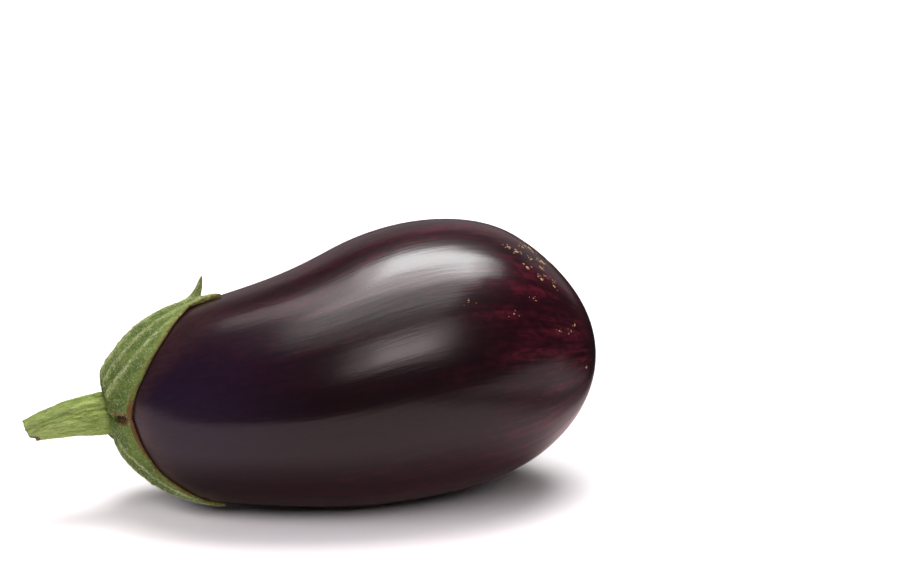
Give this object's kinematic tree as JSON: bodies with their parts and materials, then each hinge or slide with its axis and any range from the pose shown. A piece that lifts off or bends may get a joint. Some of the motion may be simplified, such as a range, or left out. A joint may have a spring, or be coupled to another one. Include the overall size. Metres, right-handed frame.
{
  "type": "eggplant",
  "caption": "Whole eggplant as picked, lying on its side: a glossy pear-shaped fruit with a lobed, ribbed calyx and a short ribbed stem.",
  "frame": {"origin": "in the flat resting spot on the underside, below the middle of the fruit", "axes": "+X lengthwise, from the stem towards the blossom end; -Z down, onto the surface the fruit lies on"},
  "size_m": [0.1932, 0.0944, 0.094],
  "materials": {
    "skin": "gloss",
    "calyx": "matte",
    "stem": "matte"
  },
  "bodies": {
    "root": {"fruit": "skin", "calyx": "calyx", "stem": "stem"}
  },
  "joints": []
}
